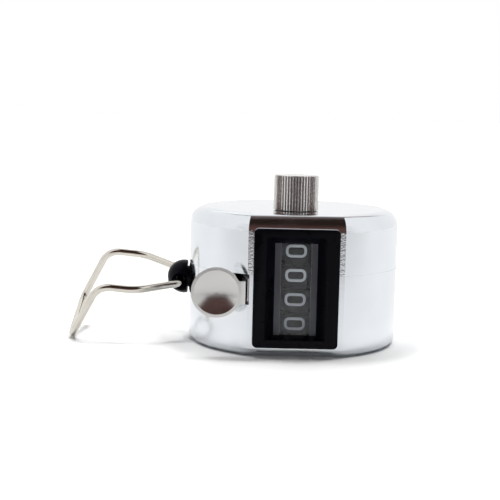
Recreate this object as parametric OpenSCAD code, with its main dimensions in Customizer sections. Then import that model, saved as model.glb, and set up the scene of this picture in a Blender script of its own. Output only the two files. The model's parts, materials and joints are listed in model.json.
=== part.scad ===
// Hand tally counter: a round pressed case with a flat window face, four number wheels on a
// reset shaft, a thumb lever with a drive claw, and a wire finger ring in a swivel eye.
// Millimetres. The case axis is Z, the base is at Z = 0 and the window faces -Y.

/* [Case] */
// Outer diameter of the round case
case_d = 45; // [43:0.5:52]
// Width of the flat front face
flat_w = 19.6; // [19:0.2:22]
// Thickness of the pressed shells
wall = 0.8; // [0.6:0.1:1]
// Height of the seam between the two shells
seam_h = 16.8; // [16.4:0.1:18]
// Height and depth of the shadow line at the seam
seam_line = 0.15; // [0.1:0.05:0.3]
// Radius of the rolled top edge
top_round = 3.5; // [2.5:0.1:4]
// Radius of the rolled bottom edge
bottom_round = 1.6; // [1.4:0.1:2.4]
// Height of the spigot that centres the upper shell
lip_h = 1.5; // [1:0.1:2.5]
// Thickness of the spigot
lip_t = 0.6; // [0.4:0.1:0.8]
// Gap between the spigot and the upper shell
lip_gap = 0.05; // [0.03:0.01:0.1]

/* [Window] */
// Width of the bezel
bezel_w = 17.3; // [16:0.1:18]
// Height of the bezel
bezel_h = 24.3; // [23.5:0.1:24.6]
// Height of the lower edge of the bezel above the base
bezel_sill = 2; // [1.8:0.1:2.4]
// How far the bezel stands out of the flat face
bezel_proud = 1.1; // [0.8:0.1:1.5]
// Corner radius of the bezel
bezel_corner = 1; // [0.6:0.1:1.5]
// Overlap of the bezel on the shells around its cut-out
bezel_lap = 0.9; // [0.6:0.1:1.2]
// Gap between the bezel and its cut-out
bezel_fit = 0.03; // [0.02:0.01:0.08]
// Depth of the bezel body behind the flat face
bezel_depth = 2.45; // [2.2:0.05:2.8]
// Width of the opening at the lens
view_w = 8.6; // [8:0.1:9.4]
// Height of the opening at the lens
view_h = 18.8; // [18:0.1:19.6]
// Width of the sloped reveal beside the opening
reveal_w = 1.9; // [1.4:0.1:2.2]
// Height of the sloped reveal above the opening
reveal_top = 1.5; // [1:0.1:1.8]
// Height of the sloped reveal below the opening
reveal_low = 0.6; // [0.3:0.1:0.8]
// Thickness of the clear lens
lens_t = 0.7; // [0.5:0.1:1]
// Overlap of the lens behind the bezel
lens_lap = 0.9; // [0.6:0.1:1.2]
// Gap between the lens and its seat
lens_fit = 0.05; // [0.03:0.01:0.1]
// Running gap between the lens and the wheels
view_gap = 0.5; // [0.4:0.1:0.8]

/* [Counting wheels] */
// Diameter of the number wheels
wheel_d = 18; // [17:0.1:18.6]
// Spacing of the number wheels along the shaft
wheel_pitch = 5; // [4.8:0.05:5.2]
// Gap between neighbouring rims
rim_gap = 0.2; // [0.15:0.05:0.3]
// Gap between neighbouring hubs
hub_gap = 0.05; // [0.03:0.01:0.1]
// Thickness of the wheel rim
rim_t = 2; // [1.7:0.1:2.4]
// Thickness of the wheel web
web_t = 1; // [0.8:0.1:1.4]
// Diameter of the wheel hub
hub_d = 7; // [6.6:0.1:7.6]
// Height of the ratchet band
ratchet_h = 0.9; // [0.8:0.1:1.2]
// How far the ratchet band lies below the number band
ratchet_inset = 0.15; // [0.1:0.05:0.25]
// Depth of a ratchet notch
notch_depth = 1.1; // [0.9:0.1:1.2]
// Extra depth of the carry notch
carry_depth = 0.5; // [0.3:0.1:0.6]

/* [Shaft and knob] */
// Diameter of the reset shaft
shaft_d = 4; // [3.6:0.1:4.4]
// Running gap between a shaft and its bore
run_gap = 0.05; // [0.03:0.01:0.08]
// Clearance of a pressed or threaded seat
seat_gap = 0.02; // [0.01:0.01:0.04]
// Width of the zero groove along the shaft
groove_w = 1; // [0.8:0.1:1.2]
// Depth of the zero groove
groove_depth = 0.8; // [0.6:0.1:1]
// Diameter of the knob over its knurl
knob_d = 9.4; // [8.6:0.1:11]
// Height of the knob
knob_h = 7.2; // [6.5:0.1:8]
// Gap between the knob and the case top
knob_gap = 0.15; // [0.1:0.05:0.5]
// Depth of the knurl
knurl_depth = 0.35; // [0.2:0.05:0.45]
// Number of knurl teeth
knurl_count = 46; // [36:1:56]
// Chamfer of the upper edge of the knob
knob_chamfer = 0.2; // [0.15:0.05:0.6]
// Thickness of the knob top over the shaft end
knob_cap = 1.2; // [0.9:0.1:1.6]
// Diameter of the grub screw
grub_d = 2; // [1.6:0.1:2.2]
// Width across flats of the grub screw socket
grub_key = 0.9; // [0.7:0.1:1]

/* [Frame] */
// Thickness of the two frame plates
plate_t = 1.2; // [1:0.1:1.4]
// Gap between the frame plates and the shell side
plate_gap = 2; // [1.6:0.1:2.4]
// Height of the threaded bosses under the case top
boss_h = 1.85; // [1.6:0.05:2.4]
// Diameter of the pillars and bosses
pillar_d = 4.4; // [4:0.1:5]
// Distance of the pillars from the plate edge
pillar_edge = 3.1; // [2.8:0.1:3.4]
// Diameter of the case screws
screw_d = 2; // [1.8:0.1:2.2]
// Clearance around the case screws
screw_gap = 0.15; // [0.1:0.05:0.25]
// Head diameter of the case screws
screw_head_d = 3.8; // [3.4:0.1:4]
// Height of the case screw heads
screw_head_h = 1.1; // [0.9:0.1:1.2]
// Width of the screwdriver slot in the case screws
driver_w = 0.7; // [0.6:0.1:0.9]
// Depth of the screwdriver slot
driver_depth = 0.5; // [0.4:0.1:0.6]
// Flange thickness of the shaft bushes
flange_t = 0.5; // [0.4:0.1:0.7]
// Flange width of the shaft bushes
flange_w = 0.9; // [0.6:0.1:1.2]
// Wall of the shaft bushes
bush_wall = 0.8; // [0.6:0.1:1]
// How far the upper bush stands below its plate
bush_drop = 0.4; // [0.3:0.1:0.6]
// Thickness of the thrust washer
washer_t = 0.9; // [0.7:0.1:1.1]
// Thickness of the spring washer
spring_washer_t = 0.6; // [0.5:0.1:0.8]
// Thickness of the retaining clip
clip_t = 0.6; // [0.5:0.1:0.8]
// Depth of the clip groove in the shaft
clip_depth = 0.5; // [0.4:0.1:0.6]

/* [Thumb lever] */
// Diameter of the dished thumb pad
pad_d = 10.2; // [9.4:0.1:11]
// Distance of the pad centre beyond the edge of the flat face
pad_out = 6.2; // [6:0.1:7]
// Sheet thickness of the lever
strip_t = 1; // [0.8:0.1:1.1]
// Height of the lever strip
strip_h = 4.7; // [4.2:0.1:5.2]
// Height of the middle of the lever above the base
lever_h = 13.25; // [13:0.05:13.6]
// Distance of the pad sheet in front of the flat face
pad_reach = 1.3; // [1.1:0.1:1.7]
// Depth of the dish in the pad
dish_depth = 0.9; // [0.6:0.1:1.1]
// Width of the raised rim of the pad
pad_rim = 0.6; // [0.4:0.1:0.8]
// Inside bend radius of the lever strip
strip_bend = 0.5; // [0.4:0.1:0.8]
// Distance of the strip from the edge of the flat face
strip_in = 0.45; // [0.35:0.05:0.6]
// Gap around the strip in the case slot
slot_gap = 0.3; // [0.25:0.05:0.4]
// Room in the slot for the swing of the lever
slot_room = 2.2; // [2:0.1:2.5]
// Distance of the lever pin inside the flat face
pivot_depth = 4; // [3.8:0.1:4.3]
// Distance of the lever pin from the edge of the flat face
pivot_in = 0.2; // [0.1:0.05:0.4]
// Diameter of the lever pin
lever_pin_d = 2; // [1.8:0.1:2.2]
// Wall of the lever eyes
eye_wall = 0.9; // [0.8:0.05:1]
// Outward bow of the inner arm
arm_bow = 1.9; // [1.7:0.1:2.4]
// Diameter of the stop post
stop_d = 2; // [1.6:0.1:2.4]

/* [Drive claw] */
// Distance of the claw pin outside the wheel rim
claw_out = 6.3; // [6:0.1:6.8]
// Diameter of the claw pin
claw_pin_d = 1.6; // [1.4:0.1:1.8]
// Sheet thickness of the claw
claw_t = 1; // [0.8:0.1:1.1]
// Gap between the claw and the lever eye
claw_gap = 0.2; // [0.15:0.05:0.3]
// Length of the units tooth
tooth_len = 3.1; // [2.9:0.1:3.3]
// Difference in length from one tooth to the next
tooth_step = 0.9; // [0.8:0.05:0.95]
// Width of a tooth at its tip
tooth_tip = 0.3; // [0.2:0.05:0.35]
// Gap between the resting tooth and the ratchet
tooth_gap = 0.35; // [0.3:0.05:0.5]
// Height gap between a tooth and its ratchet band
tooth_side = 0.1; // [0.08:0.02:0.15]

/* [Detent comb and springs] */
// Sheet thickness of the detent comb
comb_t = 0.4; // [0.3:0.05:0.5]
// Distance of the comb from the wheel rim
comb_out = 1.6; // [1.4:0.1:1.9]
// How deep a comb tip sits in a notch
comb_bite = 0.65; // [0.5:0.05:0.75]
// Width of the comb post
comb_post_w = 3; // [2.6:0.1:3.4]
// Depth of the comb post
comb_post_t = 2; // [1.8:0.1:2.4]
// Diameter of the comb screws
comb_screw_d = 1.4; // [1.2:0.1:1.6]
// Head diameter of the comb screws
comb_head_d = 2.4; // [2.2:0.1:2.6]
// Head height of the comb screws
comb_head_h = 0.8; // [0.6:0.1:1]
// Wire diameter of the torsion springs
spring_wire = 0.5; // [0.4:0.05:0.6]
// Turns of the lever return spring
lever_turns = 5; // [3:1:6]
// Turns of the claw spring
claw_turns = 3; // [2:1:3]
// Sheet thickness of the zero pawls
pawl_t = 0.7; // [0.6:0.05:0.8]
// Height of the zero pawls
pawl_h = 1.4; // [1.2:0.1:1.6]
// Gap around the zero pawls
pawl_gap = 0.1; // [0.08:0.01:0.15]

/* [Finger ring] */
// Wire diameter of the ring
wire_d = 1.6; // [1.4:0.1:1.8]
// Width of the ring between wire centres
ring_w = 18.5; // [17.5:0.1:20]
// Length of the ring from the eye to its fold
ring_reach = 17; // [16.8:0.1:19]
// Length of the ring from its fold to the end bar
ring_drop = 13.3; // [12.4:0.1:13.4]
// Angle of the fold
ring_fold = 68; // [60:1:72]
// Angle at which the legs spread from the eye
ring_splay = 32; // [28:1:36]
// Roll of the eye at rest
ring_roll = 17; // [12:1:17]
// Rise of the legs at rest
ring_rise = 5; // [4:1:8]
// Diameter of the swivel eye
eye_d = 7.26; // [6.8:0.02:7.4]
// Height of the swivel axis above the base
eye_h = 13.2; // [13:0.1:13.4]
// Distance of the ball centre outside the case
eye_out = 1.2; // [1:0.1:1.4]
// Distance of the ring hole beyond the ball centre
hole_out = 0.8; // [0.6:0.1:1]
// Diameter of the swivel neck
neck_d = 4.6; // [4.2:0.1:5]
// Diameter of the collar in the case slot
collar_d = 6.2; // [5.8:0.1:6.4]
// Gap between the ball and the case
eye_gap = 0.45; // [0.35:0.05:0.6]
// Gap around the collar in its slot
collar_gap = 0.1; // [0.06:0.02:0.15]
// Width of the flange behind the case wall
eye_flange_w = 1; // [0.8:0.1:1.2]
// Thickness of the flange behind the case wall
eye_flange_t = 1; // [0.8:0.1:1.4]
// Gap around the wire in the eye
wire_gap = 0.1; // [0.05:0.01:0.12]

/* [Hidden] */
$fn = 48;

// Sideways overshoot of a cut past the face that it opens
over = 1;
wheel_count = 4;
digit_count = 10;
digit_angle = 360 / digit_count;

// Heights, from the base up through the wheel stack to the case top
case_r = case_d / 2;
plate_z = wall;
plate_top = plate_z + plate_t;
washer_z = plate_top + flange_t;
stack_z = washer_z + washer_t + hub_gap;
stack_top = stack_z + wheel_count * wheel_pitch;
clip_z = stack_top + spring_washer_t + hub_gap;
upper_plate_z = clip_z + clip_t + hub_gap + bush_drop;
upper_plate_top = upper_plate_z + plate_t;
case_h = upper_plate_top + boss_h + wall;
knob_z = case_h + knob_gap;
knob_top = knob_z + knob_h;

// Distances toward the window
front = sqrt(pow(case_r, 2) - pow(flat_w / 2, 2));
lens_back = front - bezel_depth;
wheel_r = wheel_d / 2;
ratchet_r = wheel_r - ratchet_inset;
axis_y = -(lens_back - view_gap - wheel_r);
shaft_r = shaft_d / 2;
bore_r = shaft_r + run_gap;
hub_r = hub_d / 2;
rim_in = wheel_r - rim_t;
bush_r = shaft_r + bush_wall;

// Window, seen from the front
bezel_top = bezel_sill + bezel_h;
body_w = bezel_w - 2 * bezel_lap;
view_mid = stack_z + wheel_count * wheel_pitch / 2 + ratchet_h / 4;
view_low = view_mid - view_h / 2;
view_high = view_mid + view_h / 2;
lens_front = lens_back + lens_t;

// Frame
plate_r = case_r - wall - plate_gap;
plate_front = lens_back - bezel_lap;
pillar_ring = plate_r - pillar_edge;
pillar_angles = [-25, 65, 130];

// Thumb lever, in plan
strip_z = lever_h - strip_h / 2;
strip_top = strip_z + strip_h;
strip_x = -(flat_w / 2 + strip_in);
pad_y = -(front + pad_reach);
pad_x = -(flat_w / 2 + pad_out);
lever_pin = [-(flat_w / 2 - pivot_in), -(front - pivot_depth)];
lever_eye_r = lever_pin_d / 2 + eye_wall;
slot_low = strip_z - slot_gap;
slot_right = strip_x + strip_t / 2 + slot_gap;
slot_left = strip_x - strip_t / 2 - slot_room;

// Ratchet notches: angle of the first, and the angles of a notch's floor and mouth
notch_angle = 144;
notch_floor = [1, 3];
notch_mouth = [-5, 21];

// Zero pawls: angle of the nose and sweep of the leaf to its peg
pawl_start = 90;
pawl_sweep = 120;

// Half angle of the mouth of the retaining clip
clip_mouth = 60;

// Drive claw, in plan: pin, knee and tooth tip around the wheel axis
tooth_root_share = 0.8;
claw_pin_angle = 159.3;
tooth_angle = 145.5;
tooth_lean = 115.5;
claw_pin = [0, axis_y] + polar(wheel_r + claw_out, claw_pin_angle);
claw_eye_r = claw_pin_d / 2 + eye_wall;
tooth_point = [0, axis_y] + polar(ratchet_r + tooth_gap, tooth_angle);
claw_knee = tooth_point + polar(tooth_len, tooth_lean);
claw_low = rim_z(0) + tooth_side;
claw_top = rim_z(wheel_count - 1) + ratchet_h - tooth_side;

// Inner arm of the lever, bowed away from the wheels
arm_dir = unit(claw_pin - lever_pin);
arm_knee = (claw_pin + lever_pin) / 2 + arm_bow * [-arm_dir[1], arm_dir[0]];
rest_dir = unit(claw_pin - arm_knee);
stop_at = (claw_pin + arm_knee) / 2
  + (strip_t / 2 + stop_d / 2 + run_gap) * [-rest_dir[1], rest_dir[0]];

// Detent comb, at the right of the wheels
comb_x = wheel_r + comb_out;
comb_lead = 0.3;
comb_root = axis_y + wheel_r + comb_post_w;
comb_screw_heights = [stack_z + wheel_pitch, stack_z + 3 * wheel_pitch];

// Torsion springs: seats, coil spacing and thickness of the legs as shares of the wire, leg angles
lever_spring_z = strip_top + claw_gap;
claw_spring_z = claw_top + claw_gap;
coil_pitch = 0.96;
leg_share = 0.8;
lever_legs = [125, 150];
claw_legs = [-60, 240];

// Swivel eye and ring
ball_x = -(case_r + eye_out);
ball_face = -(case_r + eye_gap);
collar_face = -case_r;
collar_r = collar_d / 2;
flange_r = collar_r + eye_flange_w;
flange_x = -(sqrt(pow(case_r - wall - lip_gap - lip_t, 2) - pow(flange_r, 2)) - collar_gap);
hole_x = ball_x - hole_out;
wire_r = wire_d / 2;
hole_r = wire_r + wire_gap;
wire_step = 0.01;
wire_bite = 0.05;
leg_bend = 2;
leg_sweep = 8;
fold_bend = 4;
corner_bend = 2;
hole_half = 2.6;
leg_run = (ring_w / 2 - hole_half - leg_bend * cos(ring_splay) - leg_sweep * (1 - cos(ring_splay)))
  / sin(ring_splay);
leg_used = leg_bend * (1 - sin(ring_splay)) + leg_run * cos(ring_splay) + leg_sweep * sin(ring_splay);
fold_used = fold_bend * tan(ring_fold / 2);

// Point at a radius and an angle
function polar(r, a) = r * [cos(a), sin(a)];
// Vector of length one
function unit(v) = v / norm(v);
// Underside of the rim and its ratchet band, counted in wheels from the base
function rim_z(i) = stack_z + i * wheel_pitch + rim_gap / 2;
// Corner points of a knurled outline
function knurl(r, depth, n) = [
  for (i = [0 : 2 * n - 1]) polar(r - (i % 2) * depth, 180 * i / n)
];

// Corner points of a half section whose upper chamfer runs on past its radius
function chamfered_side(r, h, c) = [
  [0, 0], [r + over, 0], [r + over, h - c - over], [r - c, h], [0, h]
];

// Side profile with rounded outer corners
module rounded_side(w, z0, z1, r_top, r_low) {
  middle = (z0 + z1) / 2;
  translate([0, z0]) square([w - r_low, middle - z0]);
  translate([0, middle]) square([w - r_top, z1 - middle]);
  translate([0, z0 + r_low]) square([w, z1 - z0 - r_low - r_top]);
  translate([w - r_top, z1 - r_top]) circle(r_top);
  translate([w - r_low, z0 + r_low]) circle(r_low);
}

// Solid inside the case surface, set in by a distance
module case_solid(inset) {
  intersection() {
    rotate_extrude()
      rounded_side(case_r - inset, inset, case_h - inset, top_round - inset, bottom_round - inset);
    rotate([90, 0, -90])
      translate([0, 0, -case_d])
        linear_extrude(2 * case_d) {
          rounded_side(front - inset, inset, case_h - inset, top_round - inset, bottom_round - inset);
          translate([-case_d, inset]) square([case_d, case_h - 2 * inset]);
        }
  }
}

// Slice of the case solid between two heights
module case_slice(inset, z0, z1) {
  intersection() {
    case_solid(inset);
    translate([-case_d, -case_d, z0]) cube([2 * case_d, 2 * case_d, z1 - z0]);
  }
}

// Room for the bezel body through the shells
module bezel_room() {
  side = body_w + 2 * bezel_fit;
  low = bezel_sill + bezel_lap - bezel_fit;
  high = bezel_top - bezel_lap + bezel_fit;
  translate([-side / 2, -front - over, low]) cube([side, bezel_depth + over, high - low]);
}

// Upright bar between two points in plan, with round ends
module bar(p, q, t, z0, z1) {
  translate([p[0], p[1], z0])
    rotate(atan2(q[1] - p[1], q[0] - p[0]))
      translate([0, -t / 2, 0]) cube([norm(q - p), t, z1 - z0]);
  for (e = [p, q]) post(e, t, z0, z1);
}

// Upright round post
module post(p, d, z0, z1) {
  translate([p[0], p[1], z0]) cylinder(d = d, h = z1 - z0);
}

// Upright ring around a point in plan
module collar(p, r_out, r_in, z0, z1) {
  difference() {
    post(p, 2 * r_out, z0, z1);
    post(p, 2 * r_in, z0 - over, z1 + over);
  }
}

// Places one copy on each pillar
module at_pillars() {
  for (a = pillar_angles) translate(pillar_ring * [cos(a), sin(a), 0]) children();
}

// Countersunk case screw, with a clearance all round
module case_screw(gap) {
  cylinder(r1 = screw_head_d / 2 + gap, r2 = screw_d / 2 + gap, h = screw_head_h);
  cylinder(d = screw_d + 2 * gap, h = upper_plate_top + boss_h - wall / 2);
}

// Frame plate outline with its holes
module frame_plate(z) {
  difference() {
    intersection() {
      translate([0, 0, z]) cylinder(r = plate_r, h = plate_t);
      translate([-case_d, -plate_front, z]) cube([2 * case_d, 2 * case_d, plate_t]);
    }
    post([0, axis_y], 2 * (bush_r + seat_gap), z - over, z + plate_t + over);
    post(lever_pin, lever_pin_d + 2 * seat_gap, z - over, z + plate_t + over);
    at_pillars() case_screw(screw_gap);
  }
}

// Close-wound torsion spring with two bent-out legs
module torsion_spring(p, r, turns, z, leg, angles) {
  step = spring_wire * coil_pitch;
  translate([p[0], p[1], z + spring_wire / 2]) {
    rotate_extrude()
      for (i = [0 : turns - 1]) translate([r, i * step]) circle(spring_wire / 2);
    spring_leg(r, leg, angles[0]);
    translate([0, 0, (turns - 1) * step]) spring_leg(r, leg, angles[1]);
  }
}

// Leg that is bent straight out of a spring
module spring_leg(r, leg, a) {
  rotate(a) translate([r, 0, 0]) rotate([0, 90, 0]) cylinder(d = spring_wire * leg_share, h = leg);
}

// Notch in a ratchet outline, steep on its driven side
module notch(depth) {
  r_low = ratchet_r - depth;
  r_out = ratchet_r + ratchet_inset + over;
  polygon([
    polar(r_low, notch_floor[0]), polar(r_low, notch_floor[1]),
    polar(r_out, notch_mouth[1]), polar(r_out, notch_mouth[0])
  ]);
}

// Outline of a ratchet band, with one deeper notch for the carry
module ratchet_outline() {
  difference() {
    circle(ratchet_r);
    for (k = [0 : digit_count - 1])
      rotate(notch_angle + k * digit_angle)
        notch(k == digit_count - 1 ? notch_depth + carry_depth : notch_depth);
  }
}

// Number wheel: rim, web, hub and ratchet band
module wheel(i) {
  z0 = rim_z(i);
  hub_z = stack_z + i * wheel_pitch;
  rim_h = wheel_pitch - rim_gap;
  color("#303136")
    translate([0, axis_y, 0])
      difference() {
        union() {
          translate([0, 0, z0 + ratchet_h]) cylinder(r = wheel_r, h = rim_h - ratchet_h);
          translate([0, 0, z0]) linear_extrude(ratchet_h) ratchet_outline();
          translate([0, 0, hub_z]) cylinder(r = hub_r, h = wheel_pitch - hub_gap);
        }
        translate([0, 0, hub_z - over]) cylinder(r = bore_r, h = wheel_pitch + 2 * over);
        translate([0, 0, z0 + web_t])
          difference() {
            cylinder(r = rim_in, h = wheel_pitch);
            cylinder(r = hub_r, h = wheel_pitch);
            translate([pawl_anchor()[0], pawl_anchor()[1], 0]) cylinder(r = peg_r(), h = pawl_h);
          }
        pawl_nose(z0 + web_t, pawl_gap, wheel_pitch);
      }
}

// Radius of the zero pawl band, midway between hub and rim
function pawl_r() = (hub_r + rim_in) / 2;
// Radius of the peg that holds a zero pawl
function peg_r() = pawl_t;
// Peg position in the wheel
function pawl_anchor() = polar(pawl_r(), pawl_start + pawl_sweep);

// Nose of a zero pawl, reaching through the hub into the shaft groove
module pawl_nose(z, gap, h) {
  reach = shaft_r - groove_depth + 3 * pawl_gap;
  w = groove_w - 2 * pawl_gap + 2 * gap;
  translate([-w / 2, reach, z]) cube([w, pawl_r() - reach, h]);
}

// Zero pawl: a spring leaf on a peg, with its nose in the shaft groove
module zero_pawl(i) {
  z = rim_z(i) + web_t + pawl_gap;
  color("gray")
    translate([0, axis_y, 0])
      difference() {
        union() {
          translate([0, 0, z])
            rotate(pawl_start)
              rotate_extrude(angle = pawl_sweep)
                translate([pawl_r() - pawl_t / 2, 0]) square([pawl_t, pawl_h]);
          pawl_nose(z, 0, pawl_h);
          translate([pawl_anchor()[0], pawl_anchor()[1], z]) cylinder(r = 2 * peg_r(), h = pawl_h);
        }
        translate([pawl_anchor()[0], pawl_anchor()[1], z - over])
          cylinder(r = peg_r() + run_gap, h = pawl_h + 2 * over);
      }
}

// Straight stretch of wire that bites into the bends at both ends, then what follows it
module wire_run(length, drawn = true) {
  if (drawn) translate([0, 0, -wire_bite]) cylinder(r = wire_r - wire_step, h = length + 2 * wire_bite);
  translate([0, 0, length]) children();
}

// Bend of the wire toward a side, then what follows it
module wire_turn(r, a, side) {
  rotate(side) {
    translate([r, 0, 0])
      rotate([90, 0, 180]) rotate_extrude(angle = a) translate([r, 0]) circle(wire_r);
    translate([r * (1 - cos(a)), 0, r * sin(a)]) rotate([0, a, 0]) rotate(-side) children();
  }
}

// One leg of the finger ring from the eye to the end bar; the first leg draws both cross pieces
module ring_leg(first) {
  rotate([-90, 0, 180])
    translate([0, 0, -hole_half])
      wire_run(2 * hole_half, first)
        wire_turn(leg_bend, 90 - ring_splay, 0)
          wire_run(leg_run)
            wire_turn(leg_sweep, ring_splay, 0)
              wire_run(ring_reach - leg_used - fold_used)
                wire_turn(fold_bend, ring_fold, 90)
                  wire_run(ring_drop - fold_used - corner_bend)
                    wire_turn(corner_bend, 90, 0)
                      wire_run(ring_w - 2 * corner_bend, first);
}

// Upper half of the case
module upper_shell() {
  color("silver")
    difference() {
      union() {
        difference() {
          union() {
            case_slice(0, seam_h + seam_line, case_h + over);
            case_slice(seam_line, seam_h, seam_h + lip_h);
          }
          case_slice(wall, seam_h - over, case_h + over);
        }
        at_pillars() translate([0, 0, upper_plate_top]) cylinder(d = pillar_d, h = boss_h + wall / 2);
      }
      bezel_room();
      post([0, axis_y], 2 * (bush_r + seat_gap), upper_plate_top, case_h + over);
      at_pillars() case_screw(seat_gap);
    }
}

// Lower half of the case, with the spigot, the lever slot and the eye slot
module lower_shell() {
  color("gainsboro")
    difference() {
      union() {
        case_slice(0, -over, seam_h);
        case_slice(wall + lip_gap, seam_h - over, seam_h + lip_h);
      }
      case_slice(wall, -over, seam_h - lip_h);
      case_slice(wall + lip_gap + lip_t, seam_h - lip_h - over, case_h);
      bezel_room();
      translate([slot_left, -case_r, slot_low])
        cube([slot_right - slot_left, case_r - lens_back + flat_w / 2, case_h]);
      eye_slot();
      at_pillars() case_screw(screw_gap);
    }
}

// Slot that drops over the collar of the swivel eye
module eye_slot() {
  r = collar_r + collar_gap;
  translate([-case_d, 0, eye_h]) rotate([0, 90, 0]) cylinder(r = r, h = case_d);
  translate([-case_d, -r, eye_h]) cube([case_d, 2 * r, case_h]);
}

// Black window frame with a sloped reveal and a seat for the lens
module window_bezel() {
  color("#17171a")
    difference() {
      union() {
        translate([0, -front, 0])
          rotate([90, 0, 0]) linear_extrude(bezel_proud) bezel_outline();
        translate([-body_w / 2, -front, bezel_sill + bezel_lap])
          cube([body_w, bezel_depth, bezel_h - 2 * bezel_lap]);
      }
      reveal();
      translate([-view_w / 2 - lens_lap, -lens_front, view_low - lens_lap])
        cube([view_w + 2 * lens_lap, lens_t + over, view_h + 2 * lens_lap]);
    }
}

// Front outline of the bezel
module bezel_outline() {
  inner = bezel_w - 2 * bezel_corner;
  translate([-inner / 2, bezel_sill]) square([inner, bezel_h]);
  translate([-bezel_w / 2, bezel_sill + bezel_corner]) square([bezel_w, bezel_h - 2 * bezel_corner]);
  for (x = [-inner / 2, inner / 2])
    for (z = [bezel_sill + bezel_corner, bezel_top - bezel_corner])
      translate([x, z]) circle(bezel_corner);
}

// Sloped opening of the bezel, where two wedges cross
module reveal() {
  y_cut = front + bezel_proud + over;
  growth = 1 + over / (front + bezel_proud - lens_front);
  half = view_w / 2;
  wide = half + reveal_w * growth;
  intersection() {
    linear_extrude(case_h)
      polygon([[-half, -lens_front], [-wide, -y_cut], [wide, -y_cut], [half, -lens_front]]);
    rotate([90, 0, -90])
      translate([0, 0, -case_d])
        linear_extrude(2 * case_d)
          polygon([
            [lens_front, view_low],
            [y_cut, view_low - reveal_low * growth],
            [y_cut, view_high + reveal_top * growth],
            [lens_front, view_high]
          ]);
  }
}

// Clear lens in its seat
module window_lens() {
  color("aliceblue")
    translate([-view_w / 2 - lens_lap + lens_fit, -lens_front, view_low - lens_lap + lens_fit])
      cube([view_w + 2 * (lens_lap - lens_fit), lens_t, view_h + 2 * (lens_lap - lens_fit)]);
}

// Upper frame plate
module upper_plate() {
  color("slategray") frame_plate(upper_plate_z);
}

// Lower frame plate
module lower_plate() {
  color("slategray") frame_plate(plate_z);
}

// Tubular pillars between the plates
module frame_pillars() {
  color("slategray")
    at_pillars() collar([0, 0], pillar_d / 2, screw_d / 2 + screw_gap, plate_top, upper_plate_z);
}

// Long slotted screws that clamp the case and the frame
module case_screws() {
  color("gray")
    at_pillars()
      difference() {
        case_screw(0);
        translate([-screw_head_d, -driver_w / 2, -over])
          cube([2 * screw_head_d, driver_w, driver_depth + over]);
      }
}

// Flanged bush of the upper plate
module upper_bush() {
  color("darkgoldenrod") {
    difference() {
      union() {
        post([0, axis_y], 2 * bush_r, upper_plate_z - bush_drop, upper_plate_top);
        post([0, axis_y], 2 * (bush_r + flange_w), upper_plate_top, upper_plate_top + flange_t);
      }
      post([0, axis_y], 2 * bore_r, upper_plate_z - bush_drop - over, case_h);
    }
  }
}

// Flanged bush of the lower plate
module lower_bush() {
  color("darkgoldenrod") {
    difference() {
      union() {
        post([0, axis_y], 2 * bush_r, plate_z, plate_top);
        post([0, axis_y], 2 * (bush_r + flange_w), plate_top, plate_top + flange_t);
      }
      post([0, axis_y], 2 * bore_r, plate_z - over, washer_z + over);
    }
  }
}

// Pin that the thumb lever turns on
module lever_pin() {
  color("darkgray") post(lever_pin, lever_pin_d, plate_z, upper_plate_top);
}

// Post that stops the inner arm at rest
module stop_post() {
  color("darkgray") post(stop_at, stop_d, plate_top, upper_plate_z);
}

// Post that carries the detent comb
module comb_post() {
  color("slategray")
    difference() {
      translate([comb_x + comb_t, comb_root, plate_top])
        cube([comb_post_t, comb_post_w, upper_plate_z - plate_top]);
      comb_screw_set(seat_gap);
    }
}

// Leaf spring comb with one tip in each ratchet
module detent_comb() {
  tip = [ratchet_r - comb_bite, comb_lead];
  color("gray")
    difference() {
      union() {
        translate([comb_x, comb_root, claw_low]) cube([comb_t, comb_post_w, claw_top - claw_low]);
        for (i = [0 : wheel_count - 1])
          translate([0, 0, rim_z(i) + tooth_side])
            linear_extrude(ratchet_h - 2 * tooth_side) {
              translate([comb_x, axis_y]) square([comb_t, comb_root + comb_post_w / 2 - axis_y]);
              translate([0, axis_y])
                polygon([tip, [comb_x, -comb_t], [comb_x + comb_t, -comb_t], [comb_x + comb_t, 3 * comb_t],
                  [comb_x, 3 * comb_t]]);
            }
      }
      comb_screw_set(seat_gap);
    }
}

// Comb screws, with a clearance round their shanks
module comb_screw_set(gap) {
  for (z = comb_screw_heights)
    translate([comb_x, comb_root + comb_post_w / 2, z])
      rotate([0, 90, 0])
        cylinder(d = comb_screw_d + 2 * gap, h = comb_post_t + gap);
}

// Two screws of the detent comb
module comb_screws() {
  color("gray") {
    comb_screw_set(0);
    for (z = comb_screw_heights)
      translate([comb_x - comb_head_h, comb_root + comb_post_w / 2, z])
        rotate([0, 90, 0]) cylinder(d = comb_head_d, h = comb_head_h);
  }
}

// Return spring of the lever
module lever_spring() {
  color("dimgray")
    torsion_spring(lever_pin, lever_pin_d / 2 + run_gap + spring_wire / 2, lever_turns, lever_spring_z,
      strip_h, lever_legs);
}

// Knurled reset knob
module reset_knob() {
  r = knob_d / 2;
  color("lightgray")
    translate([0, axis_y, 0])
      difference() {
        intersection() {
          translate([0, 0, knob_z]) linear_extrude(knob_h) polygon(knurl(r, knurl_depth, knurl_count));
          translate([0, 0, knob_z]) rotate_extrude() polygon(chamfered_side(r, knob_h, knob_chamfer));
        }
        translate([0, 0, knob_z - over]) cylinder(r = shaft_r + seat_gap, h = knob_h - knob_cap + over);
        grub_room(grub_d + 2 * seat_gap, r);
      }
}

// Radial hole for the grub screw, at the back of the knob
module grub_room(d, length) {
  translate([0, shaft_r + seat_gap, knob_z + knob_h / 2]) rotate([-90, 0, 0]) cylinder(d = d, h = length);
}

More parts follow.
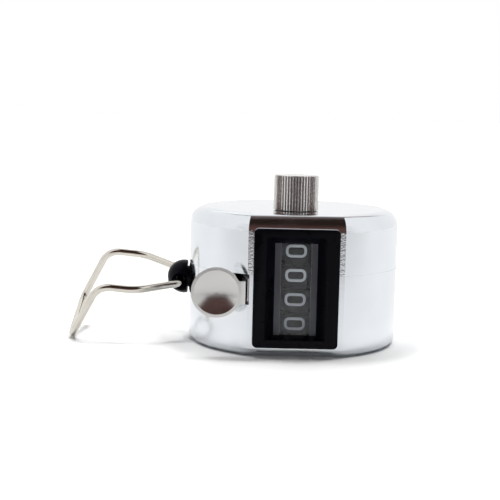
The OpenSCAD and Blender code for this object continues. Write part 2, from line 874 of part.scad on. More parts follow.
// Grub screw of the knob
module knob_grub_screw() {
  length = knob_d / 2 - knurl_depth - knob_chamfer - shaft_r;
  color("dimgray")
    translate([0, axis_y, 0])
      difference() {
        grub_room(grub_d, length);
        translate([0, length / 2, 0]) grub_room(grub_key / cos(30), length, $fn = 6);
      }
}

// Reset shaft with its zero groove and clip groove
module reset_shaft() {
  length = knob_top - knob_cap - plate_z - 2 * hub_gap;
  color("lightsteelblue")
    translate([0, axis_y, 0])
      difference() {
        translate([0, 0, plate_z + hub_gap]) cylinder(r = shaft_r, h = length);
        translate([-groove_w / 2, shaft_r - groove_depth, stack_z])
          cube([groove_w, shaft_r, wheel_count * wheel_pitch]);
        collar([0, 0], shaft_r + over, shaft_r - clip_depth, clip_z, clip_z + clip_t);
      }
}

// Washer between the lower bush and the wheels
module thrust_washer() {
  color("darkgoldenrod") collar([0, axis_y], hub_r, bore_r, washer_z, washer_z + washer_t);
}

// Spring washer over the wheels
module spring_washer() {
  color("dimgray") collar([0, axis_y], hub_r, bore_r, stack_top, stack_top + spring_washer_t);
}

// Open retaining clip in the shaft groove
module retaining_clip() {
  r_in = shaft_r - clip_depth + seat_gap;
  mouth = 2 * r_in * sin(clip_mouth);
  color("darkslategray")
    difference() {
      collar([0, axis_y], shaft_r + bush_wall, r_in, clip_z + seat_gap, clip_z + clip_t - seat_gap);
      translate([-mouth / 2, axis_y - case_r, clip_z - over]) cube([mouth, case_r, clip_t + 2 * over]);
    }
}

// Wheel next to the knob
module units_wheel() {
  wheel(3);
}

// Second wheel from the knob
module tens_wheel() {
  wheel(2);
}

// Third wheel from the knob
module hundreds_wheel() {
  wheel(1);
}

// Wheel next to the base
module thousands_wheel() {
  wheel(0);
}

// Zero pawl of the units wheel
module units_zero_pawl() {
  zero_pawl(3);
}

// Zero pawl of the tens wheel
module tens_zero_pawl() {
  zero_pawl(2);
}

// Zero pawl of the hundreds wheel
module hundreds_zero_pawl() {
  zero_pawl(1);
}

// Zero pawl of the thousands wheel
module thousands_zero_pawl() {
  zero_pawl(0);
}

// Thumb lever: dished pad, strip through the slot, pin eye and bowed inner arm
module thumb_lever() {
  turn_r = strip_bend + strip_t / 2;
  turn_x = strip_x - turn_r;
  color("silver")
    difference() {
      union() {
        pad();
        intersection() {
          translate([pad_x, pad_y - strip_t / 2, strip_z]) cube([turn_x - pad_x, strip_t, strip_h]);
          difference() {
            translate([pad_x, -case_r, strip_z]) cube([pad_out * 2, case_r, strip_h]);
            translate([pad_x, 0, lever_h]) rotate([90, 0, 0]) cylinder(d = pad_d - pad_rim, h = case_d);
          }
        }
        translate([turn_x, pad_y + turn_r, strip_z])
          rotate(-90)
            rotate_extrude(angle = 90) translate([strip_bend, 0]) square([strip_t, strip_h]);
        translate([strip_x - strip_t / 2, pad_y + turn_r, strip_z])
          cube([strip_t, lever_pin[1] - pad_y - turn_r, strip_h]);
        post(lever_pin, 2 * lever_eye_r, strip_z, strip_top);
        bar(lever_pin, arm_knee, strip_t, strip_z, strip_top);
        bar(arm_knee, claw_pin, strip_t, strip_z, strip_top);
        post(claw_pin, 2 * claw_eye_r, strip_z, strip_top);
      }
      post(lever_pin, lever_pin_d + 2 * run_gap, strip_z - over, strip_top + over);
      post(claw_pin, claw_pin_d + 2 * seat_gap, strip_z - over, strip_top + over);
    }
}

// Dished thumb pad, pressed from the same sheet
module pad() {
  r = pad_d / 2;
  flat_r = r - pad_rim;
  dish_r = (pow(flat_r, 2) + pow(dish_depth, 2)) / (2 * dish_depth);
  translate([pad_x, pad_y - strip_t / 2, lever_h])
    rotate([-90, 0, 0])
      difference() {
        union() {
          cylinder(r = r, h = strip_t);
          intersection() {
            translate([0, 0, dish_depth + strip_t - dish_r]) sphere(r = dish_r);
            cylinder(r = flat_r, h = 2 * dish_r);
          }
        }
        translate([0, 0, dish_depth - dish_r]) sphere(r = dish_r);
      }
}

// Pin between the lever and the claw
module claw_pin() {
  color("darkgray")
    post(claw_pin, claw_pin_d, claw_low, claw_spring_z + claw_turns * spring_wire + claw_gap);
}

// Drive claw: two knuckles on the pin, a tall web and four stepped teeth
module drive_claw() {
  color("darkgray")
    difference() {
      union() {
        translate([claw_pin[0], claw_pin[1], claw_low]) linear_extrude(claw_top - claw_low) claw_outline();
        for (i = [0 : wheel_count - 1]) claw_tooth(i);
      }
      post(claw_pin, 2 * (claw_eye_r + claw_gap), strip_z - claw_gap, strip_top + claw_gap);
    }
}

// Outline of the claw's eye and web around its pin
module claw_outline() {
  reach = claw_knee - claw_pin;
  difference() {
    union() {
      circle(claw_eye_r);
      rotate(atan2(reach[1], reach[0]))
        translate([0, -claw_t / 2]) square([norm(reach) + claw_t / 2, claw_t]);
    }
    circle(claw_pin_d / 2 + run_gap);
  }
}

// Tooth over the ratchet band of a wheel, shorter from wheel to wheel
module claw_tooth(i) {
  length = tooth_len - (wheel_count - 1 - i) * tooth_step;
  root = claw_t * tooth_root_share / 2;
  translate([claw_knee[0], claw_knee[1], rim_z(i) + tooth_side])
    rotate(tooth_lean + 180)
      linear_extrude(ratchet_h - 2 * tooth_side)
        polygon([[0, -root], [length, -tooth_tip / 2], [length, tooth_tip / 2], [0, root]]);
}

// Spring that presses the claw toward the ratchets
module claw_spring() {
  color("dimgray")
    torsion_spring(claw_pin, claw_pin_d / 2 + run_gap + spring_wire / 2, claw_turns, claw_spring_z,
      claw_eye_r, claw_legs);
}

// Swivel eye: inner flange, collar, neck and a ball with the ring hole
module ring_swivel() {
  color("black")
    difference() {
      translate([0, 0, eye_h]) {
        rotate([0, 90, 0]) {
          translate([0, 0, flange_x]) cylinder(r = flange_r, h = eye_flange_t);
          translate([0, 0, collar_face]) cylinder(r = collar_r, h = flange_x - collar_face);
          translate([0, 0, ball_face]) cylinder(d = neck_d, h = collar_face - ball_face);
        }
        intersection() {
          translate([ball_x, 0, 0]) sphere(d = eye_d);
          translate([ball_face - eye_d, -eye_d, -eye_d]) cube([eye_d, 2 * eye_d, 2 * eye_d]);
        }
      }
      translate([hole_x, 0, eye_h])
        rotate([ring_roll, 0, 0])
          for (s = [-90, 90])
            rotate([s, 0, 0]) {
              cylinder(r = hole_r, h = eye_d);
              translate([0, 0, hole_half / 2])
                cylinder(r1 = hole_r, r2 = hole_r + 2 * wire_r, h = eye_d / 2 - hole_half / 2);
            }
    }
}

// Finger ring of bent wire
module finger_ring() {
  color("whitesmoke")
    translate([hole_x, 0, eye_h])
      rotate([ring_roll, 0, 0])
        rotate([0, ring_rise, 0]) {
          ring_leg(true);
          mirror([0, 1, 0]) ring_leg(false);
        }
}

upper_shell();
lower_shell();
window_bezel();
window_lens();
upper_plate();
lower_plate();
frame_pillars();
case_screws();
upper_bush();
lower_bush();
lever_pin();
stop_post();
comb_post();
detent_comb();
comb_screws();
lever_spring();
reset_knob();
knob_grub_screw();
reset_shaft();
thrust_washer();
spring_washer();
retaining_clip();
units_wheel();
tens_wheel();
hundreds_wheel();
thousands_wheel();
units_zero_pawl();
tens_zero_pawl();
hundreds_zero_pawl();
thousands_zero_pawl();
thumb_lever();
claw_pin();
drive_claw();
claw_spring();
ring_swivel();
finger_ring();
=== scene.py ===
"""Looks of a hand tally counter: chrome case, number window, thumb lever, reset knob and finger ring."""

import json
import math

import bmesh
import bpy
from mathutils import Euler, Matrix, Vector


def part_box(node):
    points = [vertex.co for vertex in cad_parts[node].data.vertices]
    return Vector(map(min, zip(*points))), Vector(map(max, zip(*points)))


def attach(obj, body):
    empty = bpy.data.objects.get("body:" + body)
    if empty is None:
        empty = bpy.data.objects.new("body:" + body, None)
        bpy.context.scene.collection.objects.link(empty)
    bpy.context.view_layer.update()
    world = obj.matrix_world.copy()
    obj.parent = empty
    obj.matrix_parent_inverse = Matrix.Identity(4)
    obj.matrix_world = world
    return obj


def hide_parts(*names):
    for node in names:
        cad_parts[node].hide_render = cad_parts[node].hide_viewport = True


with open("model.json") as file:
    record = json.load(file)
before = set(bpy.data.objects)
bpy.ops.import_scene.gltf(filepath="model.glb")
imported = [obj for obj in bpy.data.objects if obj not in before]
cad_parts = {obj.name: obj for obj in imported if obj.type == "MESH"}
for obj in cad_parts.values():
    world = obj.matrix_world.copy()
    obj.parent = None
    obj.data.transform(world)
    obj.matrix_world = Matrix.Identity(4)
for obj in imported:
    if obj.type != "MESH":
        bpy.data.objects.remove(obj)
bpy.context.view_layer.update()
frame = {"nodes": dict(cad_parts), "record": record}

MM = 0.001
NODES = frame["nodes"]

# Counting wheels: their axis and radius, and the numerals stamped on the number bands
WHEELS = ("units", "tens", "hundreds", "thousands")
WHEEL_LOW, WHEEL_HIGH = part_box("units_wheel")
WHEEL_R = (WHEEL_HIGH.x - WHEEL_LOW.x) / 2
AXIS = Vector(((WHEEL_LOW.x + WHEEL_HIGH.x) / 2, (WHEEL_LOW.y + WHEEL_HIGH.y) / 2, 0))
BAND_H = 3.9 * MM
RIM_INSET = 0.05 * MM
NUMERAL_H = 4.37 * MM
NUMERAL_W = 2.65 * MM
NUMERAL_STROKE = 0.56 * MM
NUMERAL_CORNER = 0.85 * MM
NUMERAL_RELIEF = 0.05 * MM
NUMERAL_STEP = 0.12 * MM
DIGITS = 10

# Centre lines of the numerals, in half widths across and half heights up; a loop is closed
STROKES = {
    0: [("loop", [(-1, -1), (1, -1), (1, 1), (-1, 1)])],
    1: [("line", [(-0.7, 0.55), (0, 1), (0, -1)])],
    2: [("line", [(-1, 0.5), (-1, 1), (1, 1), (1, 0.15), (-1, -0.45), (-1, -1), (1, -1)])],
    3: [("line", [(-1, 0.6), (-1, 1), (1, 1), (1, 0.05), (-0.3, 0.05)]),
        ("line", [(-0.3, 0.05), (1, 0.05), (1, -1), (-1, -1), (-1, -0.6)])],
    4: [("line", [(0.45, -1), (0.45, 1), (-1, -0.4), (1, -0.4)])],
    5: [("line", [(1, 1), (-1, 1), (-1, 0.1), (1, 0.1), (1, -1), (-1, -1), (-1, -0.6)])],
    6: [("line", [(1, 0.6), (1, 1), (-1, 1), (-1, -1), (1, -1), (1, 0.1), (-1, 0.1)])],
    7: [("line", [(-1, 1), (1, 1), (1, 0.6), (-0.2, -1)])],
    8: [("loop", [(-1, -1), (1, -1), (1, 0.05), (-1, 0.05)]),
        ("loop", [(-0.85, 0.05), (0.85, 0.05), (0.85, 1), (-0.85, 1)])],
    9: [("line", [(-1, -0.6), (-1, -1), (1, -1), (1, 1), (-1, 1), (-1, -0.1), (1, -0.1)])],
}

# Mended meshes, angles in degrees: rounding of the window frame's edges, the least turn of an edge that
# is rounded, the most of one that counts as flat, the gap that is welded, and how far a corner normal
# may lean off its face
FRAME_ROUNDING = 0.35 * MM
SHARP_ANGLE = 35
FLAT_ANGLE = 0.5
WELD = 0.002 * MM
POLE_ANGLE = 20

# Depths between which a finish fades on its piece: the grain behind the flat front, the painted shade below
# the knurl's crests and below the knob's end face, and the painted highlight on the window frame's top edge
GRAIN_DEPTHS = (0.01 * MM, 0.03 * MM)
GROOVE_SHADE_DEPTHS = (0.33 * MM, 0.1 * MM)
KNOB_END_DEPTHS = (0.1 * MM, 0.02 * MM)
HIGHLIGHT_DEPTHS = (0.7 * MM, 0.5 * MM)

# Lens: from the middle to where its frosted margins start and are full, and how far up it turns greyer
MARGIN_PLACES = (3.05 * MM, 3.15 * MM)
GREYER_SHARE = 0.65

# Range that most of a noise texture's values lie in
NOISE_LOW, NOISE_HIGH = 0.3, 0.7

# Camera, fitted to edges of the photograph: place, turn in degrees, and focal length in pixels of
# its 500 pixel frame
CAMERA_AT = Vector((-9.819, -246.074, 49.629)) * MM
CAMERA_AZIMUTH = -0.094
CAMERA_ELEVATION = 7.035
CAMERA_ROLL = 1.35
CAMERA_NEAR, CAMERA_FAR = 0.01, 20
FOCAL_PX = 1133.4
FRAME_PX = 500
SENSOR_MM = 36

# Lamps far overhead: lean to the back and to the side, in degrees, share of the light, and width in degrees
LAMPS = (("left_key", 6.5, 16, 0.33, 16), ("right_key", 6.5, -16, 0.33, 16), ("back_key", 30, 0, 0.34, 40))
LIGHT_LEVEL = 0.96
SHADE_LEVEL = 0.04

# White paper: its hole under the case, its reach and its depth below the base, in metres
HOLE_R = 20.2 * MM
HOLE_FRONT = -18.3 * MM
PAPER_R = 6
PAPER_Z = -0.05 * MM
PAPER_SIDES = 64

# White of the paper under the lamps, to the eye, and in mirrors from its front edge to behind the case
PAPER_WHITE = 0.85
PAPER_TO_EYE = 1.25
PAPER_IN_MIRRORS = (0.84, 1.04)
PAPER_EDGE, PAPER_BACK = -0.13, 0.02

# Dim room in front, in metres and degrees: its distance, the angles where it starts and ends, how much
# later it ends to the right and at its left side, its middle, how far left its foot is, and half its
# width, with what its lower part and its far end have more
ROOM_R = 0.42
ROOM_START, ROOM_END = -4, 114.8
ROOM_END_RIGHT, ROOM_END_LEFT = 72, 220
ROOM_MIDDLE = 0.018
ROOM_FOOT_LEFT = 0.063
ROOM_HALF, ROOM_HALF_LOW, ROOM_HALF_FAR = 0.1, 0.25, 0.1

# Colours of that room from its floor to where it ends overhead, with their places
ROOM_COLOURS = ("#3c2f30", (0.14, "#573732"), (0.26, "#4a302a"), (0.4, "#261a14"), (0.68, "#221813"),
                (0.82, "#675a58"), "#6a5e5c")

# Paler sides of the room: distance in metres, width, start and height in degrees
SIDES_R = 0.9
SIDES_TURN = 150
SIDES_START, SIDES_RISE = -3, 42

# Every card: steps each way, share of it over which an edge fades, swing of its patches, and least height
CARD_STEPS = 32
CARD_FADE = 0.125
CARD_SWING = 0.25
CARD_LOWEST = 1 * MM


def colour(code):
    """Linear colour of an sRGB hex code."""
    parts = [int(code[i:i + 2], 16) / 255 for i in (1, 3, 5)]
    return (*[p / 12.92 if p <= 0.04045 else ((p + 0.055) / 1.055) ** 2.4 for p in parts], 1.0)


def per_mm(size):
    """Texture scale at which one feature is that many millimetres wide."""
    return 1 / (size * MM)


def ramp(value, start, end):
    """Share of the way from start to end, from 0 to 1."""
    return min(1, max(0, (value - start) / (end - start)))


def add(tree, kind, inputs=None, **settings):
    """Add a node with its settings; each input is a value, or a socket that it is linked from. The
    inputs of a Mix node go by number: 0 is its factor, 2 and 3 are its numbers, 6 and 7 its colours."""
    node = tree.nodes.new(kind)
    for key, value in settings.items():
        setattr(node, key, value)
    for key, value in (inputs or {}).items():
        if isinstance(value, bpy.types.NodeSocket):
            tree.links.new(value, node.inputs[key])
        else:
            node.inputs[key].default_value = value
    return node


def new_finish(name):
    """Material with an empty node tree, and the place on the piece that its patterns follow."""
    made = bpy.data.materials.new(name)
    made.use_nodes = True
    made.node_tree.nodes.clear()
    where = add(made.node_tree, "ShaderNodeTexCoord").outputs["Object"]
    return made, made.node_tree, where


def chrome_plate(name, dark, light, polish, grain=0.0, front_shade=None):
    # Chrome on pressed and polished steel: a mirror. Polishing lines run round it, drawn coarser than they
    # are so that they show, slow waves of the pressing bend what it mirrors, and handling leaves soft dull
    # smears. Grain is the unpolished, rippled plating of the flat front; the last argument is the colour of
    # a painted shade on the faces that look forward.
    made, tree, where = new_finish(name)
    drawn_out = add(tree, "ShaderNodeMapping", {"Vector": where, "Scale": (0.04, 0.04, 1)}).outputs[0]
    lines = add(tree, "ShaderNodeTexNoise", {
        "Vector": drawn_out, "Scale": per_mm(0.35), "Detail": 3.0, "Roughness": 0.6}).outputs["Fac"]
    smears = add(tree, "ShaderNodeTexNoise", {
        "Vector": where, "Scale": per_mm(6), "Detail": 3.0}).outputs["Fac"]
    waves = add(tree, "ShaderNodeTexNoise", {
        "Vector": where, "Scale": per_mm(9), "Detail": 1.0}).outputs["Fac"]
    tint = add(tree, "ShaderNodeMix", {
        0: smears, 6: colour(dark), 7: colour(light)}, data_type="RGBA").outputs[2]
    fine = add(tree, "ShaderNodeMapRange", {
        "Value": lines, "From Min": NOISE_LOW, "From Max": NOISE_HIGH,
        "To Min": polish, "To Max": polish + 0.04}).outputs[0]
    dull = add(tree, "ShaderNodeMapRange", {
        "Value": smears, "From Min": 0.45, "From Max": 0.75, "To Min": 0.0, "To Max": 0.05}).outputs[0]
    shine = add(tree, "ShaderNodeMath", {0: fine, 1: dull}, operation="ADD").outputs[0]
    normal = add(tree, "ShaderNodeBump", {
        "Height": waves, "Distance": 0.02 * MM, "Strength": 0.35}).outputs[0]
    if grain:
        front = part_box("upper_shell")[0].y
        forward = add(tree, "ShaderNodeSeparateXYZ", {"Vector": where}).outputs["Y"]
        on_flat = add(tree, "ShaderNodeMapRange", {
            "Value": forward, "From Min": front + GRAIN_DEPTHS[0], "From Max": front + GRAIN_DEPTHS[1],
            "To Min": grain, "To Max": 0.0}).outputs[0]
        ripples = add(tree, "ShaderNodeMapping", {"Vector": where, "Scale": (0.6, 1, 1)}).outputs[0]
        peel = add(tree, "ShaderNodeTexNoise", {
            "Vector": ripples, "Scale": per_mm(0.32), "Detail": 2.0, "Roughness": 0.6}).outputs["Fac"]
        normal = add(tree, "ShaderNodeBump", {
            "Height": peel, "Distance": 0.06 * MM, "Strength": on_flat, "Normal": normal}).outputs[0]
    if front_shade:
        facing = add(tree, "ShaderNodeTexCoord").outputs["Normal"]
        ahead = add(tree, "ShaderNodeSeparateXYZ", {"Vector": facing}).outputs["Y"]
        # painted shade: faces that look forward take the darker colour
        front_shaded = add(tree, "ShaderNodeMapRange", {
            "Value": ahead, "From Min": -0.4, "From Max": 0.0, "To Min": 1.0, "To Max": 0.0}).outputs[0]
        tint = add(tree, "ShaderNodeMix", {
            0: front_shaded, 6: tint, 7: colour(front_shade)}, data_type="RGBA").outputs[2]
    surface = add(tree, "ShaderNodeBsdfPrincipled", {
        "Base Color": tint, "Metallic": 1.0, "Roughness": shine, "Normal": normal}).outputs[0]
    add(tree, "ShaderNodeOutputMaterial", {"Surface": surface})
    return made


def nickel_wire():
    # Bright nickel on drawn wire: a mirror warmer than chrome, with small draw marks and patches
    # that fingers have rubbed dull.
    made, tree, where = new_finish("nickel_wire")
    marks = add(tree, "ShaderNodeTexNoise", {
        "Vector": where, "Scale": per_mm(0.5), "Detail": 4.0, "Roughness": 0.6}).outputs["Fac"]
    patches = add(tree, "ShaderNodeTexNoise", {
        "Vector": where, "Scale": per_mm(4), "Detail": 3.0}).outputs["Fac"]
    tint = add(tree, "ShaderNodeMix", {
        0: patches, 6: colour("#cfc9bf"), 7: colour("#dedad2")}, data_type="RGBA").outputs[2]
    shine = add(tree, "ShaderNodeMapRange", {
        "Value": patches, "From Min": NOISE_LOW, "From Max": NOISE_HIGH,
        "To Min": 0.06, "To Max": 0.16}).outputs[0]
    normal = add(tree, "ShaderNodeBump", {
        "Height": marks, "Distance": 0.01 * MM, "Strength": 0.25}).outputs[0]
    surface = add(tree, "ShaderNodeBsdfPrincipled", {
        "Base Color": tint, "Metallic": 1.0, "Roughness": shine, "Normal": normal}).outputs[0]
    add(tree, "ShaderNodeOutputMaterial", {"Surface": surface})
    return made


def knurled_steel():
    # Turned steel with a cut straight knurl: bright crests, dull grooves painted grey-brown as shade, and
    # turning rings on the end face, drawn coarser than they are so that they show.
    made, tree, where = new_finish("knurled_steel")
    low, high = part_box("reset_knob")
    crest = (high.x - low.x) / 2
    centred = add(tree, "ShaderNodeVectorMath", {0: where, 1: -AXIS}, operation="ADD").outputs[0]
    parts = add(tree, "ShaderNodeSeparateXYZ", {"Vector": centred}).outputs
    flat = add(tree, "ShaderNodeCombineXYZ", {"X": parts["X"], "Y": parts["Y"]}).outputs[0]
    radius = add(tree, "ShaderNodeVectorMath", {0: flat}, operation="LENGTH").outputs["Value"]
    groove = add(tree, "ShaderNodeMapRange", {
        "Value": radius, "From Min": crest - GROOVE_SHADE_DEPTHS[0], "From Max": crest - GROOVE_SHADE_DEPTHS[1],
        "To Min": 1.0, "To Max": 0.0}).outputs[0]
    side = add(tree, "ShaderNodeMapRange", {
        "Value": parts["Z"], "From Min": high.z - KNOB_END_DEPTHS[0],
        "From Max": high.z - KNOB_END_DEPTHS[1], "To Min": 1.0, "To Max": 0.0}).outputs[0]
    # painted shade: grey-brown below the knurl's crests, kept off the end face
    groove_shade = add(tree, "ShaderNodeMath", {0: groove, 1: side}, operation="MULTIPLY").outputs[0]
    rings = add(tree, "ShaderNodeTexNoise", {
        "W": radius, "Scale": per_mm(0.12), "Detail": 2.0}, noise_dimensions="1D").outputs["Fac"]
    specks = add(tree, "ShaderNodeTexNoise", {
        "Vector": where, "Scale": per_mm(0.4), "Detail": 3.0}).outputs["Fac"]
    clean = add(tree, "ShaderNodeMix", {
        0: specks, 6: colour("#dcdad6"), 7: colour("#ebe9e6")}, data_type="RGBA").outputs[2]
    tint = add(tree, "ShaderNodeMix", {
        0: groove_shade, 6: clean, 7: colour("#8f878a")}, data_type="RGBA").outputs[2]
    turned = add(tree, "ShaderNodeMapRange", {
        "Value": specks, "From Min": NOISE_LOW, "From Max": NOISE_HIGH,
        "To Min": 0.16, "To Max": 0.3}).outputs[0]
    shine = add(tree, "ShaderNodeMix", {0: groove_shade, 2: turned, 3: 0.48}).outputs[0]
    normal = add(tree, "ShaderNodeBump", {
        "Height": rings, "Distance": 0.01 * MM, "Strength": 0.3}).outputs[0]
    surface = add(tree, "ShaderNodeBsdfPrincipled", {
        "Base Color": tint, "Metallic": 1.0, "Roughness": shine, "Normal": normal}).outputs[0]
    add(tree, "ShaderNodeOutputMaterial", {"Surface": surface})
    return made


def black_abs():
    # Moulded black ABS, semi-gloss: a deep black whose gloss breaks up over the mould's grain, drawn
    # coarser than it is so that it shows. The window frame's top edge, where it faces up, is painted pale
    # grey: a painted highlight of the light from above.
    made, tree, where = new_finish("black_abs")
    mottle = add(tree, "ShaderNodeTexNoise", {
        "Vector": where, "Scale": per_mm(3), "Detail": 3.0}).outputs["Fac"]
    grain = add(tree, "ShaderNodeTexNoise", {
        "Vector": where, "Scale": per_mm(0.25), "Detail": 2.0, "Roughness": 0.6}).outputs["Fac"]
    black = add(tree, "ShaderNodeMix", {
        0: mottle, 6: colour("#04050b"), 7: colour("#090a13")}, data_type="RGBA").outputs[2]
    facing = add(tree, "ShaderNodeTexCoord").outputs["Normal"]
    up = add(tree, "ShaderNodeSeparateXYZ", {"Vector": facing}).outputs["Z"]
    faces_up = add(tree, "ShaderNodeMapRange", {
        "Value": up, "From Min": 0.35, "From Max": 0.8}, interpolation_type="SMOOTHSTEP").outputs[0]
    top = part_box("window_bezel")[1].z
    height = add(tree, "ShaderNodeSeparateXYZ", {"Vector": where}).outputs["Z"]
    top_edge = add(tree, "ShaderNodeMapRange", {
        "Value": height, "From Min": top - HIGHLIGHT_DEPTHS[0], "From Max": top - HIGHLIGHT_DEPTHS[1]}).outputs[0]
    # painted highlight: pale grey on the upward faces of the frame's top edge
    painted_highlight = add(tree, "ShaderNodeMath", {0: faces_up, 1: top_edge}, operation="MULTIPLY").outputs[0]
    tint = add(tree, "ShaderNodeMix", {
        0: painted_highlight, 6: black, 7: colour("#b9bbbf")}, data_type="RGBA").outputs[2]
    shine = add(tree, "ShaderNodeMapRange", {
        "Value": mottle, "From Min": NOISE_LOW, "From Max": NOISE_HIGH,
        "To Min": 0.24, "To Max": 0.36}).outputs[0]
    normal = add(tree, "ShaderNodeBump", {
        "Height": grain, "Distance": 0.02 * MM, "Strength": 0.4}).outputs[0]
    surface = add(tree, "ShaderNodeBsdfPrincipled", {
        "Base Color": tint, "Roughness": shine, "Normal": normal,
        "IOR": 1.54, "Specular IOR Level": 0.07}).outputs[0]
    add(tree, "ShaderNodeOutputMaterial", {"Surface": surface})
    return made


def grey_acetal():
    # Moulded dark grey acetal: waxy and even, with a soft gloss.
    made, tree, where = new_finish("grey_acetal")
    mottle = add(tree, "ShaderNodeTexNoise", {
        "Vector": where, "Scale": per_mm(2), "Detail": 3.0}).outputs["Fac"]
    tint = add(tree, "ShaderNodeMix", {
        0: mottle, 6: colour("#0b0c13"), 7: colour("#13141c")}, data_type="RGBA").outputs[2]
    shine = add(tree, "ShaderNodeMapRange", {
        "Value": mottle, "From Min": NOISE_LOW, "From Max": NOISE_HIGH,
        "To Min": 0.34, "To Max": 0.46}).outputs[0]
    surface = add(tree, "ShaderNodeBsdfPrincipled", {
        "Base Color": tint, "Roughness": shine, "IOR": 1.48, "Specular IOR Level": 0.15}).outputs[0]
    add(tree, "ShaderNodeOutputMaterial", {"Surface": surface})
    return made


def clear_acrylic():
    # Clear moulded acrylic: polished in the middle with a faint haze of wiping, frosted along its two
    # upright margins, where it is held, and greyer and a little less clear toward its lower end. Its IOR is
    # below acrylic's 1.49, because the white paper would veil the wheels more than the photograph's
    # surroundings do.
    made, tree, where = new_finish("clear_acrylic")
    low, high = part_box("window_lens")
    haze = add(tree, "ShaderNodeTexNoise", {
        "Vector": where, "Scale": per_mm(1.5), "Detail": 4.0, "Roughness": 0.6}).outputs["Fac"]
    place = add(tree, "ShaderNodeSeparateXYZ", {"Vector": where}).outputs
    offset = add(tree, "ShaderNodeMath", {0: place["X"]}, operation="ABSOLUTE").outputs[0]
    margin = add(tree, "ShaderNodeMapRange", {
        "Value": offset, "From Min": MARGIN_PLACES[0], "From Max": MARGIN_PLACES[1]}).outputs[0]
    wiped = add(tree, "ShaderNodeMapRange", {
        "Value": haze, "From Min": 0.4, "From Max": 0.7, "To Min": 0.0, "To Max": 0.05}).outputs[0]
    shine = add(tree, "ShaderNodeMath", {0: wiped, 1: margin}, operation="MAXIMUM").outputs[0]
    # greyer and a little less clear toward the lower end
    scuffed = add(tree, "ShaderNodeMapRange", {
        "Value": place["Z"], "From Min": low.z, "From Max": low.z + GREYER_SHARE * (high.z - low.z),
        "To Min": 1.0, "To Max": 0.0}, interpolation_type="SMOOTHSTEP").outputs[0]
    polished = add(tree, "ShaderNodeMapRange", {
        "Value": scuffed, "To Min": 1.0, "To Max": 0.97}).outputs[0]
    clear = add(tree, "ShaderNodeMix", {0: margin, 2: polished, 3: 0.3}).outputs[0]
    middle = add(tree, "ShaderNodeMix", {
        0: scuffed, 6: colour("#f6f8f9"), 7: colour("#e4e6e9")}, data_type="RGBA").outputs[2]
    frosted = add(tree, "ShaderNodeMix", {
        0: scuffed, 6: colour("#707077"), 7: colour("#92949b")}, data_type="RGBA").outputs[2]
    tint = add(tree, "ShaderNodeMix", {0: margin, 6: middle, 7: frosted}, data_type="RGBA").outputs[2]
    surface = add(tree, "ShaderNodeBsdfPrincipled", {
        "Base Color": tint, "Roughness": shine, "Transmission Weight": clear,
        "IOR": 1.32, "Specular IOR Level": 0.22}).outputs[0]
    add(tree, "ShaderNodeOutputMaterial", {"Surface": surface})
    return made


def stamped_ink():
    # Pale ink, hot stamped on the bands: matt, a little uneven where it is thin.
    made, tree, where = new_finish("stamped_ink")
    thin = add(tree, "ShaderNodeTexNoise", {
        "Vector": where, "Scale": per_mm(0.3), "Detail": 3.0, "Roughness": 0.6}).outputs["Fac"]
    tint = add(tree, "ShaderNodeMix", {
        0: thin, 6: colour("#b3b6bb"), 7: colour("#cbced3")}, data_type="RGBA").outputs[2]
    surface = add(tree, "ShaderNodeBsdfPrincipled", {
        "Base Color": tint, "Roughness": 0.55, "Specular IOR Level": 0.3}).outputs[0]
    add(tree, "ShaderNodeOutputMaterial", {"Surface": surface})
    return made


def works_metal(name, dark, light, low, high):
    # Plain metal of the inner works: tumbled, faintly stained, with a soft shine broken by scratches.
    made, tree, where = new_finish(name)
    stain = add(tree, "ShaderNodeTexNoise", {
        "Vector": where, "Scale": per_mm(2), "Detail": 4.0, "Roughness": 0.6}).outputs["Fac"]
    scratch = add(tree, "ShaderNodeTexNoise", {
        "Vector": where, "Scale": per_mm(0.4), "Detail": 3.0}).outputs["Fac"]
    tint = add(tree, "ShaderNodeMix", {
        0: stain, 6: colour(dark), 7: colour(light)}, data_type="RGBA").outputs[2]
    shine = add(tree, "ShaderNodeMapRange", {
        "Value": scratch, "From Min": NOISE_LOW, "From Max": NOISE_HIGH,
        "To Min": low, "To Max": high}).outputs[0]
    normal = add(tree, "ShaderNodeBump", {
        "Height": scratch, "Distance": 0.01 * MM, "Strength": 0.3}).outputs[0]
    surface = add(tree, "ShaderNodeBsdfPrincipled", {
        "Base Color": tint, "Metallic": 1.0, "Roughness": shine, "Normal": normal}).outputs[0]
    add(tree, "ShaderNodeOutputMaterial", {"Surface": surface})
    return made


def dress(obj, material):
    """Give an object one material all over."""
    obj.data.materials.clear()
    obj.data.materials.append(material)


def mesh_object(name, mesh):
    """New object in the scene, at the origin."""
    obj = bpy.data.objects.new(name, mesh)
    bpy.context.scene.collection.objects.link(obj)
    return obj


def settled(obj):
    """Turn an object's modifiers into its plain mesh."""
    bpy.context.view_layer.update()
    done = bpy.data.meshes.new_from_object(obj.evaluated_get(bpy.context.evaluated_depsgraph_get()))
    obj.modifiers.clear()
    old = obj.data
    obj.data = done
    bpy.data.meshes.remove(old)
    done.name = obj.name


